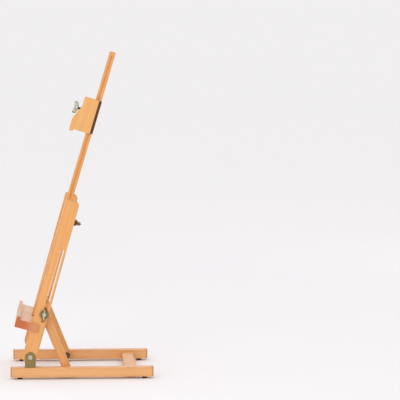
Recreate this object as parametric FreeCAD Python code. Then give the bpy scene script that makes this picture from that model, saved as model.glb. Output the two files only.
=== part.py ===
import FreeCAD, Part
import math
import os

# Tabletop H-frame easel, millimetres and degrees.
# +X runs across the easel, -Y is the painter's side, +Z is up.
# The origin is on the table, under the middle of the base.
# The leaning frame is modelled upright about its own pivot, with its front towards -Y,
# and is then leaned back; the mast and the struts are treated in the same way.

V = FreeCAD.Vector
X_AXIS = V(1, 0, 0)
Y_AXIS = V(0, 1, 0)
Z_AXIS = V(0, 0, 1)
SIDES = {"left": -1, "right": 1}

# ---------------------------------------------------------------- base
rail_length = 350.0
rail_width = 25.0
rail_height = 24.0
rail_spacing = 275.0
rail_end_radius = 5.0
wood_edge_radius = 1.6

# How far a cutter runs past the face it cuts, and how far a round end stays short of a half circle.
past = 1.0
round_slack = 0.01
tolerance = 1e-4

foot_diameter = 12.5
foot_height = 5.0
foot_inset = 22.5
foot_edge_radius = 0.8
foot_recess_diameter = 7.4
foot_recess_depth = 2.4
foot_screw_length = 15.0

crossbar_width = 29.0
crossbar_thickness = 14.0
crossbar_drop = 6.0
crossbar_centre_y = 121.5

dowel_diameter = 8.0
dowel_in_side = 12.0
dowel_in_end_grain = 18.0
base_dowel_spacing = 14.0

# ---------------------------------------------------------------- frame tilt
frame_tilt = 74.5
pivot_y = -126.8
pivot_above_rail = 25.0

bracket_width = 26.0
bracket_sheet = 1.6
bracket_side_gap = 0.3
bracket_screw_spacing = 15.0
bracket_screw_length = 14.0
bracket_edge_radius = 0.4

rivet_diameter = 8.0
rivet_bore = 5.0
rivet_head_diameter = 10.8
rivet_head_thickness = 1.3
rivet_head_taper = 0.9
rivet_mouth_chamfer = 0.6
running_clearance = 0.05

# ---------------------------------------------------------------- leaning frame
upright_thickness = 17.0
upright_inset = 1.5
upright_front = 19.0
upright_back = 15.0
upright_top = 398.0
upright_front_radius = 5.0
upright_back_radius = 11.0

slot_width = 9.2
slot_behind_pivot = 4.85
slot_bolt_behind_pivot = 4.3
slot_bottom = 90.0
slot_top = 277.0

top_bar_bottom = 307.0
top_bar_height = 60.0
frame_dowel_spacing = 30.0

tray_bottom = 63.5
tray_thickness = 20.0
tray_front = 58.0
tray_back = 0.0
tray_overhang = 14.0
lip_thickness = 9.5
lip_height = 7.5
tray_edge_radius = 1.4
tray_screw_length = 50.0

# ---------------------------------------------------------------- mast
mast_lean = 0.9
mast_width = 38.0
mast_thickness = 15.0
mast_centre_front = 15.0
mast_top = 775.5
mast_foot_gap = 1.0
groove_width = 4.0
groove_depth = 4.0
groove_stop = 10.0
slide_gap = 0.3

guide_width = 15.0
guide_setback = 1.5
guide_screw_spacing = 36.0
guide_screw_length = 22.0

# ---------------------------------------------------------------- canvas clamp
clamp_bottom = 562.5
clamp_height = 87.0
clamp_width = 56.0
clamp_top_depth = 27.5
clamp_depth = 43.0
clamp_straight = 25.0
clamp_slope = 36.0
clamp_cheek_depth = 9.4
clamp_lip_height = 5.0
clamp_lip_thickness = 10.0
clamp_bolt_below_top = 33.0
clamp_edge_radius = 0.9
clamp_back_radius = 1.0
clamp_top_radius = 1.5
clamp_nose_radius = 3.0
clamp_slope_top_radius = 6.0
clamp_slope_foot_radius = 8.0
clamp_lip_radius = 2.0

strap_sheet = 1.2
strap_inset = 1.0
strap_screw_length = 8.0
strap_screw_margin = 12.0

# ---------------------------------------------------------------- wing bolts and nuts
bolt_diameter = 6.0
wing_span = 31.0
wing_thickness = 3.2
wing_rise = 13.5
wing_hub_foot_diameter = 12.5
wing_hub_head_diameter = 9.5
wing_hub_height = 8.0
wing_edge_radius = 1.1
wing_root_inset = 1.5
wing_root_height = 1.6
wing_root_top_share = 0.86
# A wing's outline: shares of the half span and of the rise, and the corner's radius.
wing_corners = [(0.72, 0.22, 3.0), (1.00, 0.62, 3.4), (0.90, 1.00, 3.0), (0.62, 0.90, 3.0)]
bolt_tip_chamfer = 0.8
bolt_in_hub = 1.0
clamp_bolt_stand_off = 5.0
mast_bolt_stand_off = 5.3
insert_diameter = 9.0
insert_length = 13.0
pad_diameter = 15.0
pad_thickness = 2.2
pad_gap = 0.3
bolt_hole_length = 60.0
insert_seat_margin = 6.0
bolt_washer_diameter = 17.0
bolt_washer_thickness = 3.5

# ---------------------------------------------------------------- struts
strut_pivot_y = -35.2
strut_pivot_z = 17.0
strut_length = 153.9
strut_width = 21.0
strut_thickness = 12.0
strut_top_margin = 16.0
strut_top_radius = 6.0
strut_rail_gap = 1.2
strut_washer_thickness = 1.0
strut_washer_diameter = 16.0
strut_screw_diameter = 6.0
strut_screw_in_rail = 16.0
strut_screw_head_diameter = 12.5
strut_screw_head_height = 4.0
strut_screw_head_radius = 1.8
strut_screw_drive_share = 0.8

slot_bolt_diameter = 5.0
slot_bolt_head_diameter = 13.0
slot_bolt_head_height = 3.0
slot_bolt_neck = 5.6
slot_bolt_neck_depth = 3.0
slot_bolt_end_margin = 1.5
slot_bolt_chamfer = 0.7
slot_spacer_diameter = 20.0
slot_washer_diameter = 23.0
slot_washer_thickness = 1.6
slot_washer_edge_radius = 0.5
slot_washer_clearance = 0.02
facing_gap = 0.3
wing_nut_turn = 8.5

# ---------------------------------------------------------------- screws
small_screw_diameter = 3.5
small_screw_head_diameter = 6.8
strap_screw_diameter = 3.0
strap_screw_head_diameter = 5.6
tray_screw_diameter = 4.5
tray_screw_head_diameter = 8.8
screw_head_angle = 45.0
drive_width = 0.9
drive_depth_share = 0.55
screw_tip_radius = 0.2

# ---------------------------------------------------------------- derived places
rail_bottom = foot_height
rail_top = rail_bottom + rail_height
rail_inner_x = (rail_spacing - rail_width) / 2
rail_outer_x = (rail_spacing + rail_width) / 2
rail_end_y = rail_length / 2
foot_y = rail_end_y - foot_inset

pivot_z = rail_top + pivot_above_rail
frame_pivot = V(0, pivot_y, pivot_z)
frame_lean = 90.0 - frame_tilt

upright_x = rail_spacing / 2 - upright_inset
upright_inner_x = upright_x - upright_thickness / 2
upright_outer_x = upright_x + upright_thickness / 2
upright_depth = upright_front + upright_back

mast_back = mast_centre_front - mast_thickness / 2
mast_front = mast_centre_front + mast_thickness / 2
mast_frame_lean = frame_lean + mast_lean
tray_top = tray_bottom + tray_thickness
mast_bottom = tray_top + mast_foot_gap
tray_half_width = upright_x + tray_overhang

clamp_top = clamp_bottom + clamp_height
clamp_bolt_s = clamp_top - clamp_bolt_below_top
clamp_bore_x = mast_width / 2 + slide_gap
cheek_back = mast_front - clamp_cheek_depth

strut_outer_x = rail_inner_x - strut_rail_gap
strut_inner_x = strut_outer_x - strut_thickness
strut_pivot = V(0, strut_pivot_y, strut_pivot_z)
top_bar_middle = top_bar_bottom + top_bar_height / 2


# ---------------------------------------------------------------- helpers
def box(x0, x1, y0, y1, z0, z1):
    """A box between two corners."""
    return Part.makeBox(x1 - x0, y1 - y0, z1 - z0, V(x0, y0, z0))


def rod(start, end, diameter):
    """A round bar from one point to another."""
    along = end - start
    return Part.makeCylinder(diameter / 2, along.Length, start, along)


def rounded_wire(corners):
    """A closed outline through (y, z, radius) corners, each rounded to its own radius."""
    count = len(corners)
    points = [V(0, y, z) for y, z, radius in corners]
    stops = []
    for i, (y, z, radius) in enumerate(corners):
        here = points[i]
        back = (points[i - 1] - here).normalize()
        ahead = (points[(i + 1) % count] - here).normalize()
        if radius <= 0:
            stops.append((here, None, here))
            continue
        half = back.getAngle(ahead) / 2
        reach = radius / math.tan(half)
        middle = (back + ahead).normalize()
        crown = here + middle * (radius / math.sin(half) - radius)
        stops.append((here + back * reach, crown, here + ahead * reach))
    edges = []
    for i, (start, crown, end) in enumerate(stops):
        if crown is not None:
            edges.append(Part.Arc(start, crown, end).toShape())
        following = stops[(i + 1) % count][0]
        if (following - end).Length > tolerance:
            edges.append(Part.LineSegment(end, following).toShape())
    return Part.Wire(edges)


def slab(corners, x0, x1):
    """A flat piece with the given side outline, from x0 to x1."""
    face = Part.Face(rounded_wire(corners))
    face.translate(V(x0, 0, 0))
    return face.extrude(V(x1 - x0, 0, 0))


def ease(shape, radius, chosen):
    """Round the edges that the test picks."""
    edges = [edge for edge in shape.Edges if chosen(edge)]
    return shape.makeFillet(radius, edges)


def runs_round_side(x):
    """A test for the edges that lie in the side plane at x."""
    return lambda edge: all(abs(v.X - x) < tolerance for v in edge.Vertexes)


def ease_both_sides(shape, radius, x0, x1):
    """Round the outline's edges on both sides of a slab."""
    at_start = runs_round_side(x0)
    at_end = runs_round_side(x1)
    return ease(shape, radius, lambda edge: at_start(edge) or at_end(edge))


def leaned(shape, lean, pivot):
    """Lean a piece built upright about the origin back by an angle, and set it on its pivot."""
    placed = shape.copy()
    placed.rotate(V(0, 0, 0), X_AXIS, -lean)
    placed.translate(pivot)
    return placed


def on_frame(shape):
    """Set a piece built in the upright frame's place on the leaning frame."""
    return leaned(shape, frame_lean, frame_pivot)


def on_mast(shape):
    """Set a piece built in the upright mast's place on the leaning mast."""
    return leaned(shape, mast_frame_lean, frame_pivot)


def mirrored(shape):
    """The same piece on the other side of the easel."""
    return shape.mirror(V(0, 0, 0), X_AXIS)


def for_side(shape, side):
    """A piece modelled on the right, or its mirror image on the left."""
    return shape if SIDES[side] > 0 else mirrored(shape)


def on_both_sides(shapes):
    """Pieces modelled on the right together with their mirror images."""
    return Part.makeCompound(list(shapes) + [mirrored(shape) for shape in shapes])


def countersunk_screw(tip, head, diameter, head_diameter):
    """A wood screw with a flat head flush at one end and a point at the other."""
    along = (head - tip).normalize()
    length = (head - tip).Length
    point_length = diameter
    cone_length = (head_diameter - diameter) / 2 / math.tan(math.radians(screw_head_angle))
    point = Part.makeCone(screw_tip_radius, diameter / 2, point_length, tip, along)
    shank = Part.makeCylinder(diameter / 2, length - point_length, tip + along * point_length, along)
    cone = Part.makeCone(diameter / 2, head_diameter / 2, cone_length, head - along * cone_length, along)
    return point.fuse(shank).fuse(cone).removeSplitter()


def cross_recess(head, along, head_diameter):
    """The cross-shaped hollow for a screwdriver, cut from a screw head's face."""
    depth = head_diameter * drive_depth_share / 2
    reach = head_diameter * drive_depth_share
    bars = []
    for x_size, y_size in ((reach, drive_width), (drive_width, reach)):
        bar = box(-x_size / 2, x_size / 2, -y_size / 2, y_size / 2, -depth, past)
        bars.append(bar)
    cross = bars[0].fuse(bars[1])
    cross.Placement = FreeCAD.Placement(head, FreeCAD.Rotation(Z_AXIS, along))
    return cross


def finished_screw(tip, head, diameter, head_diameter):
    """A countersunk screw with its cross recess, and the plain body that its hole is cut with."""
    body = countersunk_screw(tip, head, diameter, head_diameter)
    recess = cross_recess(head, (head - tip).normalize(), head_diameter)
    return body.cut(recess), body


def wing_blade(reach_sign):
    """One wing of a wing nut, on the Z axis, reaching along Y from the hub."""
    hub = wing_hub_head_diameter / 2 - wing_root_inset
    corners = [(hub, wing_root_height, 0)]
    for out_share, up_share, radius in wing_corners:
        corners.append((wing_span / 2 * out_share, wing_rise * up_share, radius))
    corners.append((hub, wing_hub_height * wing_root_top_share, 0))
    blade = slab(corners, -wing_thickness / 2, wing_thickness / 2)
    blade = ease_both_sides(blade, wing_edge_radius, -wing_thickness / 2, wing_thickness / 2)
    if reach_sign < 0:
        blade = blade.mirror(V(0, 0, 0), Y_AXIS)
    return blade


def wing_head():
    """Hub and two wings, standing on the XY plane, with the wings along Y."""
    hub = Part.makeCone(wing_hub_foot_diameter / 2, wing_hub_head_diameter / 2, wing_hub_height)
    head = hub.fuse(wing_blade(1)).fuse(wing_blade(-1))
    return head.removeSplitter()


def wing_bolt(shank_length):
    """A wing head with a round shank that runs down from it."""
    foot = V(0, 0, -shank_length)
    radius = bolt_diameter / 2
    tip = Part.makeCone(radius - bolt_tip_chamfer, radius, bolt_tip_chamfer, foot)
    shank_start = foot + Z_AXIS * bolt_tip_chamfer
    shank = Part.makeCylinder(radius, shank_length - bolt_tip_chamfer + bolt_in_hub, shank_start)
    return wing_head().fuse(shank.fuse(tip)).removeSplitter()


def ring(outer_diameter, bore, length, start, along):
    """A washer, spacer or sleeve."""
    outside = Part.makeCylinder(outer_diameter / 2, length, start, along)
    return outside.cut(Part.makeCylinder(bore / 2, length + 2 * past, start - along * past, along))


# ---------------------------------------------------------------- base pieces
def rail():
    """The right rail, with rounded end corners and eased edges."""
    bar = box(rail_inner_x, rail_outer_x, -rail_end_y, rail_end_y, rail_bottom, rail_top)
    bar = ease(bar, rail_end_radius, lambda edge: abs(edge.BoundBox.ZLength - rail_height) < tolerance)
    return ease(bar, wood_edge_radius, lambda edge: edge.BoundBox.ZLength < tolerance)


def rear_crossbar():
    """The flat bar that joins the rails at the back."""
    top = rail_top - crossbar_drop
    back = crossbar_centre_y + crossbar_width / 2
    front = crossbar_centre_y - crossbar_width / 2
    bar = box(-rail_inner_x, rail_inner_x, front, back, top - crossbar_thickness, top)
    return ease(bar, wood_edge_radius, lambda edge: edge.BoundBox.XLength > rail_inner_x)


def crossbar_dowels():
    """The right-hand pair of dowels between the rear crossbar and its rail."""
    z = rail_top - crossbar_drop - crossbar_thickness / 2
    dowels = []
    for offset in (-base_dowel_spacing / 2, base_dowel_spacing / 2):
        start = V(rail_inner_x - dowel_in_end_grain, crossbar_centre_y + offset, z)
        end = V(rail_inner_x + dowel_in_side, crossbar_centre_y + offset, z)
        dowels.append(rod(start, end, dowel_diameter))
    return dowels


def foot_at(y):
    """A rubber foot under the right rail, hollowed for its screw head."""
    centre = V(rail_spacing / 2, y, 0)
    disc = Part.makeCylinder(foot_diameter / 2, foot_height, centre)
    disc = ease(disc, foot_edge_radius, lambda edge: edge.BoundBox.ZMax < tolerance)
    recess = Part.makeCylinder(foot_recess_diameter / 2, foot_recess_depth, centre)
    return disc.cut(recess)


def foot_screw_at(y):
    """The upward screw that holds a foot, and its plain body."""
    head = V(rail_spacing / 2, y, foot_recess_depth)
    return finished_screw(head + Z_AXIS * foot_screw_length, head,
                          small_screw_diameter, small_screw_head_diameter)


def bracket():
    """The U-shaped pivot bracket on the right rail."""
    inner = upright_inner_x - bracket_side_gap
    outer = upright_outer_x + bracket_side_gap
    half = bracket_width / 2
    crown = pivot_z + half
    corners = [
        (pivot_y - half, rail_top, 0),
        (pivot_y + half, rail_top, 0),
        (pivot_y + half, crown, half - round_slack),
        (pivot_y - half, crown, half - round_slack),
    ]
    block = slab(corners, inner - bracket_sheet, outer + bracket_sheet)
    hollow = box(inner, outer, pivot_y - half - past, pivot_y + half + past,
                 rail_top + bracket_sheet, crown + past)
    block = block.cut(hollow)
    above = rail_top + past
    outline = lambda edge: edge.BoundBox.XLength < tolerance and edge.BoundBox.ZMax > above
    at_outside = runs_round_side(outer + bracket_sheet)
    at_inside = runs_round_side(inner - bracket_sheet)
    at_face = lambda edge: at_outside(edge) or at_inside(edge)
    return ease(block, bracket_edge_radius, lambda edge: outline(edge) and at_face(edge))


def bracket_screw_pair():
    """The two screws that hold the right bracket to its rail, and their plain bodies."""
    screws = []
    for offset in (-bracket_screw_spacing / 2, bracket_screw_spacing / 2):
        head = V(upright_x, pivot_y + offset, rail_top + bracket_sheet)
        screws.append(finished_screw(head - Z_AXIS * bracket_screw_length, head,
                                     small_screw_diameter, small_screw_head_diameter))
    return screws


def pivot_rivet():
    """The hollow rivet through the right bracket and the upright."""
    outer = upright_outer_x + bracket_side_gap + bracket_sheet
    inner = upright_inner_x - bracket_side_gap - bracket_sheet
    ends = (inner - rivet_head_thickness, outer + rivet_head_thickness)
    body = rod(V(ends[0], pivot_y, pivot_z), V(ends[1], pivot_y, pivot_z), rivet_diameter)
    for x, grow in ((outer, 1), (inner, -1)):
        start = V(x, pivot_y, pivot_z)
        head = Part.makeCone(rivet_head_diameter / 2, rivet_head_diameter / 2 - rivet_head_taper,
                             rivet_head_thickness, start, X_AXIS * grow)
        body = body.fuse(head)
    bore = rod(V(ends[0] - past, pivot_y, pivot_z), V(ends[1] + past, pivot_y, pivot_z), rivet_bore)
    body = body.removeSplitter().cut(bore)
    round_bore = lambda edge: abs(edge.BoundBox.ZLength - rivet_bore) < 10 * tolerance
    mouths = [edge for edge in body.Edges if round_bore(edge) and edge.BoundBox.XLength < 10 * tolerance]
    return body.makeChamfer(rivet_mouth_chamfer, mouths)


def strut_pivot_screw():
    """The shouldered screw through the right strut's foot into the rail."""
    washer_face = strut_inner_x - facing_gap - strut_washer_thickness
    centre = V(washer_face, strut_pivot_y, strut_pivot_z)
    shank_end = V(rail_inner_x + strut_screw_in_rail, strut_pivot_y, strut_pivot_z)
    shank = rod(centre, shank_end, strut_screw_diameter)
    head = Part.makeCylinder(strut_screw_head_diameter / 2, strut_screw_head_height, centre, X_AXIS * -1)
    rim = lambda edge: edge.BoundBox.XMax < washer_face - strut_screw_head_height + tolerance
    head = ease(head, strut_screw_head_radius, rim)
    body = head.fuse(shank).removeSplitter()
    face = centre - X_AXIS * strut_screw_head_height
    drive_size = strut_screw_head_diameter * strut_screw_drive_share
    return body.cut(cross_recess(face, X_AXIS * -1, drive_size)), shank


def strut_pivot_washers():
    """The washers on both sides of the right strut's foot."""
    bore = strut_screw_diameter + 2 * running_clearance
    outside = rail_inner_x - strut_washer_thickness
    inside = strut_inner_x - facing_gap - strut_washer_thickness
    return [ring(strut_washer_diameter, bore, strut_washer_thickness,
                 V(x, strut_pivot_y, strut_pivot_z), X_AXIS) for x in (outside, inside)]


# ---------------------------------------------------------------- leaning frame pieces
def upright():
    """The right upright, built vertical about its pivot, with its long slot."""
    foot_radius = upright_depth / 2 - round_slack
    foot_bottom = -upright_depth / 2
    corners = [
        (-upright_front, foot_bottom, foot_radius),
        (upright_back, foot_bottom, foot_radius),
        (upright_back, upright_top, upright_back_radius),
        (-upright_front, upright_top, upright_front_radius),
    ]
    bar = slab(corners, upright_inner_x, upright_outer_x)
    bar = ease_both_sides(bar, wood_edge_radius, upright_inner_x, upright_outer_x)
    bar = bar.cut(slot_cutter())
    hole = rivet_diameter + 2 * running_clearance
    return bar.cut(rod(V(upright_inner_x - past, 0, 0), V(upright_outer_x + past, 0, 0), hole))


def slot_cutter():
    """The shape of the slot in the right upright, with round ends."""
    radius = slot_width / 2
    y0 = slot_behind_pivot - radius
    y1 = slot_behind_pivot + radius
    corners = [
        (y0, slot_bottom, radius - round_slack),
        (y1, slot_bottom, radius - round_slack),
        (y1, slot_top, radius - round_slack),
        (y0, slot_top, radius - round_slack),
    ]
    return slab(corners, upright_inner_x - past, upright_outer_x + past)


def bar_front_at(s):
    """How far forward of the pivot line the top crossbar's front face is, at a height up the frame."""
    lean = math.radians(mast_lean)
    return (mast_back - slide_gap) / math.cos(lean) - s * math.tan(lean)


def top_crossbar():
    """The bar that joins the uprights behind the mast, planed to lie parallel to it."""
    top = top_bar_bottom + top_bar_height
    corners = [
        (upright_back, top_bar_bottom, wood_edge_radius),
        (upright_back, top, wood_edge_radius),
        (-bar_front_at(top), top, wood_edge_radius),
        (-bar_front_at(top_bar_bottom), top_bar_bottom, wood_edge_radius),
    ]
    return slab(corners, -upright_inner_x, upright_inner_x)


def frame_dowels():
    """The right-hand pair of dowels between the top crossbar and its upright."""
    y = (upright_back - bar_front_at(top_bar_middle)) / 2
    dowels = []
    for offset in (-frame_dowel_spacing / 2, frame_dowel_spacing / 2):
        start = V(upright_inner_x - dowel_in_end_grain, y, top_bar_middle + offset)
        end = V(upright_inner_x + dowel_in_side, y, top_bar_middle + offset)
        dowels.append(rod(start, end, dowel_diameter))
    return dowels


def tray():
    """The canvas ledge with its lip, housed round both uprights."""
    lip_back = tray_front - lip_thickness
    corners = [
        (-tray_back, tray_bottom, tray_edge_radius),
        (-tray_back, tray_top, tray_edge_radius),
        (-lip_back, tray_top, 0),
        (-lip_back, tray_top + lip_height, tray_edge_radius),
        (-tray_front, tray_top + lip_height, 2 * tray_edge_radius),
        (-tray_front, tray_bottom, tray_edge_radius),
    ]
    ledge = slab(corners, -tray_half_width, tray_half_width)
    for sign in SIDES.values():
        x0, x1 = sorted((sign * upright_inner_x, sign * upright_outer_x))
        notch = box(x0, x1, -upright_front, -tray_back + past, tray_bottom - past, tray_top + past)
        ledge = ledge.cut(notch)
    return ledge


def tray_screw():
    """The screw through the right upright's back into the tray, and its plain body."""
    s = tray_bottom + tray_thickness / 2
    head = V(upright_x, upright_back, s)
    return finished_screw(head - Y_AXIS * tray_screw_length, head,
                          tray_screw_diameter, tray_screw_head_diameter)


# ---------------------------------------------------------------- mast and what guides it
def mast():
    """The sliding bar with a stopped groove down each side, built vertical."""
    half = mast_width / 2
    bar = box(-half, half, -mast_front, -mast_back, mast_bottom, mast_top)
    bar = ease(bar, wood_edge_radius, lambda edge: True)
    for sign in SIDES.values():
        x0, x1 = sorted((sign * (half - groove_depth), sign * (half + past)))
        groove = box(x0, x1, -mast_centre_front - groove_width / 2, -mast_centre_front + groove_width / 2,
                     mast_bottom - past, mast_top - groove_stop)
        bar = bar.cut(groove)
    return bar


def mast_guide():
    """The right cleat on the top crossbar, with its tongue in the mast's groove."""
    inner = mast_width / 2 + slide_gap
    back = -(mast_back - slide_gap)
    front = -(mast_front - guide_setback)
    block = box(inner, inner + guide_width, front, back, top_bar_bottom, top_bar_bottom + top_bar_height)
    outer_edges = lambda edge: edge.BoundBox.XMin > inner + past and edge.BoundBox.YMax < back - past
    block = ease(block, wood_edge_radius, outer_edges)
    tongue = box(mast_width / 2 - groove_depth + slide_gap, inner + past,
                 -mast_centre_front - groove_width / 2 + slide_gap,
                 -mast_centre_front + groove_width / 2 - slide_gap,
                 top_bar_bottom, top_bar_bottom + top_bar_height)
    return block.fuse(tongue).removeSplitter()


def guide_screw_pair():
    """The two screws through the right cleat into the crossbar, and their plain bodies."""
    x = mast_width / 2 + slide_gap + guide_width / 2
    front = -(mast_front - guide_setback)
    screws = []
    for offset in (-guide_screw_spacing / 2, guide_screw_spacing / 2):
        head = V(x, front, top_bar_middle + offset)
        screws.append(finished_screw(head + Y_AXIS * guide_screw_length, head,
                                     small_screw_diameter, small_screw_head_diameter))
    return screws


def mast_bolt_parts():
    """The wing bolt behind the mast, with its collar, insert and pad, and their cutters."""
    bar_front = -(mast_back - slide_gap)
    bar_back = upright_back / math.cos(math.radians(mast_lean))
    bar_back -= top_bar_middle * math.tan(math.radians(mast_lean))
    centre = V(0, bar_front, top_bar_middle)
    pad = Part.makeCylinder(pad_diameter / 2, pad_thickness, centre, Y_AXIS)
    pad_seat = Part.makeCylinder(pad_diameter / 2, pad_thickness + pad_gap, centre, Y_AXIS)
    back_face = V(0, bar_back, top_bar_middle)
    insert_start = back_face - Y_AXIS * insert_length
    bore = bolt_diameter + 2 * running_clearance
    insert = ring(insert_diameter, bore, insert_length, insert_start, Y_AXIS)
    hole_length = insert_length + insert_seat_margin
    insert_hole = Part.makeCylinder(insert_diameter / 2, hole_length, insert_start, Y_AXIS)
    clearance_hole = Part.makeCylinder(bore / 2, bolt_hole_length, centre, Y_AXIS)
    washer_start = back_face + Y_AXIS * mast_bolt_stand_off
    washer = ring(bolt_washer_diameter, bore, bolt_washer_thickness, washer_start, Y_AXIS)
    head_foot = washer_start + Y_AXIS * bolt_washer_thickness
    pad_face = centre + Y_AXIS * (pad_thickness + pad_gap)
    bolt = wing_bolt((head_foot - pad_face).Length)
    bolt.Placement = FreeCAD.Placement(head_foot, FreeCAD.Rotation(Y_AXIS, X_AXIS, Y_AXIS, "ZXY"))
    return {"bolt": bolt, "insert": insert, "washer": washer, "pad": pad,
            "cutters": [pad_seat, insert_hole, clearance_hole]}


# ---------------------------------------------------------------- canvas clamp pieces
def clamp_block():
    """The wooden block that grips the canvas's top edge, forked round the mast."""
    front_top = mast_front + clamp_top_depth
    front = mast_front + clamp_depth
    slope_top = clamp_top - clamp_straight
    slope_bottom = slope_top - clamp_slope
    lip_bottom = clamp_bottom - clamp_lip_height
    lip_back = front - clamp_lip_thickness
    corners = [
        (-cheek_back, clamp_bottom, clamp_back_radius),
        (-cheek_back, clamp_top, clamp_top_radius),
        (-front_top, clamp_top, clamp_nose_radius),
        (-front_top, slope_top, clamp_slope_top_radius),
        (-front, slope_bottom, clamp_slope_foot_radius),
        (-front, lip_bottom, clamp_lip_radius),
        (-lip_back, lip_bottom, clamp_lip_radius),
        (-lip_back, clamp_bottom, clamp_back_radius),
    ]
    half = clamp_width / 2
    block = slab(corners, -half, half)
    block = ease_both_sides(block, clamp_edge_radius, -half, half)
    fork = box(-clamp_bore_x, clamp_bore_x, -mast_front - slide_gap, -cheek_back + past,
               clamp_bottom - past, clamp_top + past)
    return block.cut(fork)


def clamp_strap():
    """The bent metal strap that closes the fork behind the mast."""
    side = clamp_bore_x
    edge = clamp_width / 2 - strap_inset
    bottom = clamp_bottom + strap_inset
    top = clamp_top - strap_inset
    web_front = -(mast_back - slide_gap)
    flange = box(-edge, edge, -cheek_back, -cheek_back + strap_sheet, bottom, top)
    bend = box(-side - strap_sheet, side + strap_sheet, -cheek_back, web_front + strap_sheet, bottom, top)
    bend = ease(bend, strap_sheet,
                lambda edge: edge.BoundBox.ZLength > clamp_height / 2 and edge.BoundBox.YMin > web_front)
    hollow = box(-side, side, -cheek_back - past, web_front, bottom - past, top + past)
    return flange.fuse(bend).removeSplitter().cut(hollow)


def strap_screw_pair():
    """The two screws through the strap's right flange, and their plain bodies."""
    x = (clamp_bore_x + strap_sheet + clamp_width / 2 - strap_inset) / 2
    screws = []
    for s in (clamp_bottom + strap_screw_margin, clamp_top - strap_screw_margin):
        head = V(x, -cheek_back + strap_sheet, s)
        screws.append(finished_screw(head - Y_AXIS * strap_screw_length, head,
                                     strap_screw_diameter, strap_screw_head_diameter))
    return screws


def clamp_front_at(s):
    """How far forward of the mast's front the block's face is, at a height on its slope."""
    down = clamp_top - clamp_straight - s
    share = min(max(down / clamp_slope, 0.0), 1.0)
    return clamp_top_depth + (clamp_depth - clamp_top_depth) * share


def clamp_bolt_parts():
    """The clamp's wing bolt, with its insert, its pad and their cutters."""
    inner = V(0, -mast_front - slide_gap, clamp_bolt_s)
    forward = Y_AXIS * -1
    pad = Part.makeCylinder(pad_diameter / 2, pad_thickness, inner, forward)
    pad_seat = Part.makeCylinder(pad_diameter / 2, pad_thickness + pad_gap, inner, forward)
    pad_face = inner + forward * (pad_thickness + pad_gap)
    bore = bolt_diameter + 2 * running_clearance
    insert = ring(insert_diameter, bore, insert_length, pad_face, forward)
    insert_hole = Part.makeCylinder(insert_diameter / 2, insert_length, pad_face, forward)
    clearance_hole = Part.makeCylinder(bore / 2, bolt_hole_length, inner, forward)
    reach = clamp_front_at(clamp_bolt_s) - slide_gap + clamp_bolt_stand_off
    head_foot = inner + forward * reach
    bolt = wing_bolt((head_foot - pad_face).Length)
    bolt.Placement = FreeCAD.Placement(head_foot, FreeCAD.Rotation(X_AXIS, Z_AXIS, forward, "ZXY"))
    return {"bolt": bolt, "insert": insert, "pad": pad,
            "cutters": [pad_seat, insert_hole, clearance_hole]}


# ---------------------------------------------------------------- strut pieces
def slot_crossing():
    """Where the slot bolt is at rest: in the slot, one strut length from the strut's pivot."""
    tilt = math.radians(frame_tilt)
    up = V(0, math.cos(tilt), math.sin(tilt))
    back = V(0, math.sin(tilt), -math.cos(tilt))
    start = frame_pivot + back * slot_bolt_behind_pivot - strut_pivot
    along = start.dot(up)
    reach = math.sqrt(along ** 2 - start.dot(start) + strut_length ** 2) - along
    return strut_pivot + start + up * reach


def strut_lean():
    """How far the struts lean back from vertical at rest; they lean forward, so it is negative."""
    arm = slot_crossing() - strut_pivot
    return math.degrees(math.atan2(arm.y, arm.z))


def on_strut(shape):
    """Set a piece built in the upright strut's place on the leaning strut."""
    return leaned(shape, strut_lean(), strut_pivot)


def strut():
    """The right strut, built vertical about its lower pivot."""
    half = strut_width / 2
    corners = [
        (-half, -half, half - round_slack),
        (half, -half, half - round_slack),
        (half, strut_length + strut_top_margin, strut_top_radius),
        (-half, strut_length + strut_top_margin, strut_top_radius),
    ]
    bar = slab(corners, strut_inner_x, strut_outer_x)
    bar = ease_both_sides(bar, wood_edge_radius, strut_inner_x, strut_outer_x)
    hole = strut_screw_diameter + 2 * running_clearance
    return bar.cut(rod(V(strut_inner_x - past, 0, 0), V(strut_outer_x + past, 0, 0), hole))


def wing_nut_face():
    """Where the wing nut's foot is, out from the easel's middle."""
    return upright_outer_x + facing_gap + slot_washer_thickness + facing_gap


def slot_bolt():
    """The coach bolt through the top of the right strut and the upright's slot."""
    length = wing_nut_face() + wing_hub_height + slot_bolt_end_margin - strut_inner_x
    origin = V(0, 0, 0)
    shank = rod(origin, V(length, 0, 0), slot_bolt_diameter)
    end_rim = [edge for edge in shank.Edges if edge.BoundBox.XMin > length - tolerance]
    shank = shank.makeChamfer(slot_bolt_chamfer, end_rim)
    half = slot_bolt_neck / 2
    neck = box(0, slot_bolt_neck_depth, -half, half, -half, half)
    dome_radius = (slot_bolt_head_diameter ** 2 / 4 + slot_bolt_head_height ** 2) / 2 / slot_bolt_head_height
    dome_centre = dome_radius - slot_bolt_head_height
    half_angle = math.asin(slot_bolt_head_diameter / 2 / dome_radius) / 2
    crown = V(-slot_bolt_head_height, 0, 0)
    shoulder = V(dome_centre - dome_radius * math.cos(half_angle), dome_radius * math.sin(half_angle), 0)
    rim = V(0, slot_bolt_head_diameter / 2, 0)
    arc = Part.Arc(crown, shoulder, rim).toShape()
    sides = [Part.LineSegment(rim, origin).toShape(), Part.LineSegment(origin, crown).toShape()]
    head = Part.Face(Part.Wire([arc] + sides)).revolve(origin, X_AXIS, 360)
    bolt = head.fuse(neck).fuse(shank).removeSplitter()
    bolt.translate(V(strut_inner_x, 0, strut_length))
    return bolt


def slot_spacer():
    """The spacer between the right strut and the upright."""
    length = upright_inner_x - facing_gap - strut_outer_x
    return ring(slot_spacer_diameter, slot_bolt_diameter + 2 * slot_washer_clearance, length,
                V(strut_outer_x, 0, strut_length), X_AXIS)


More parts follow.
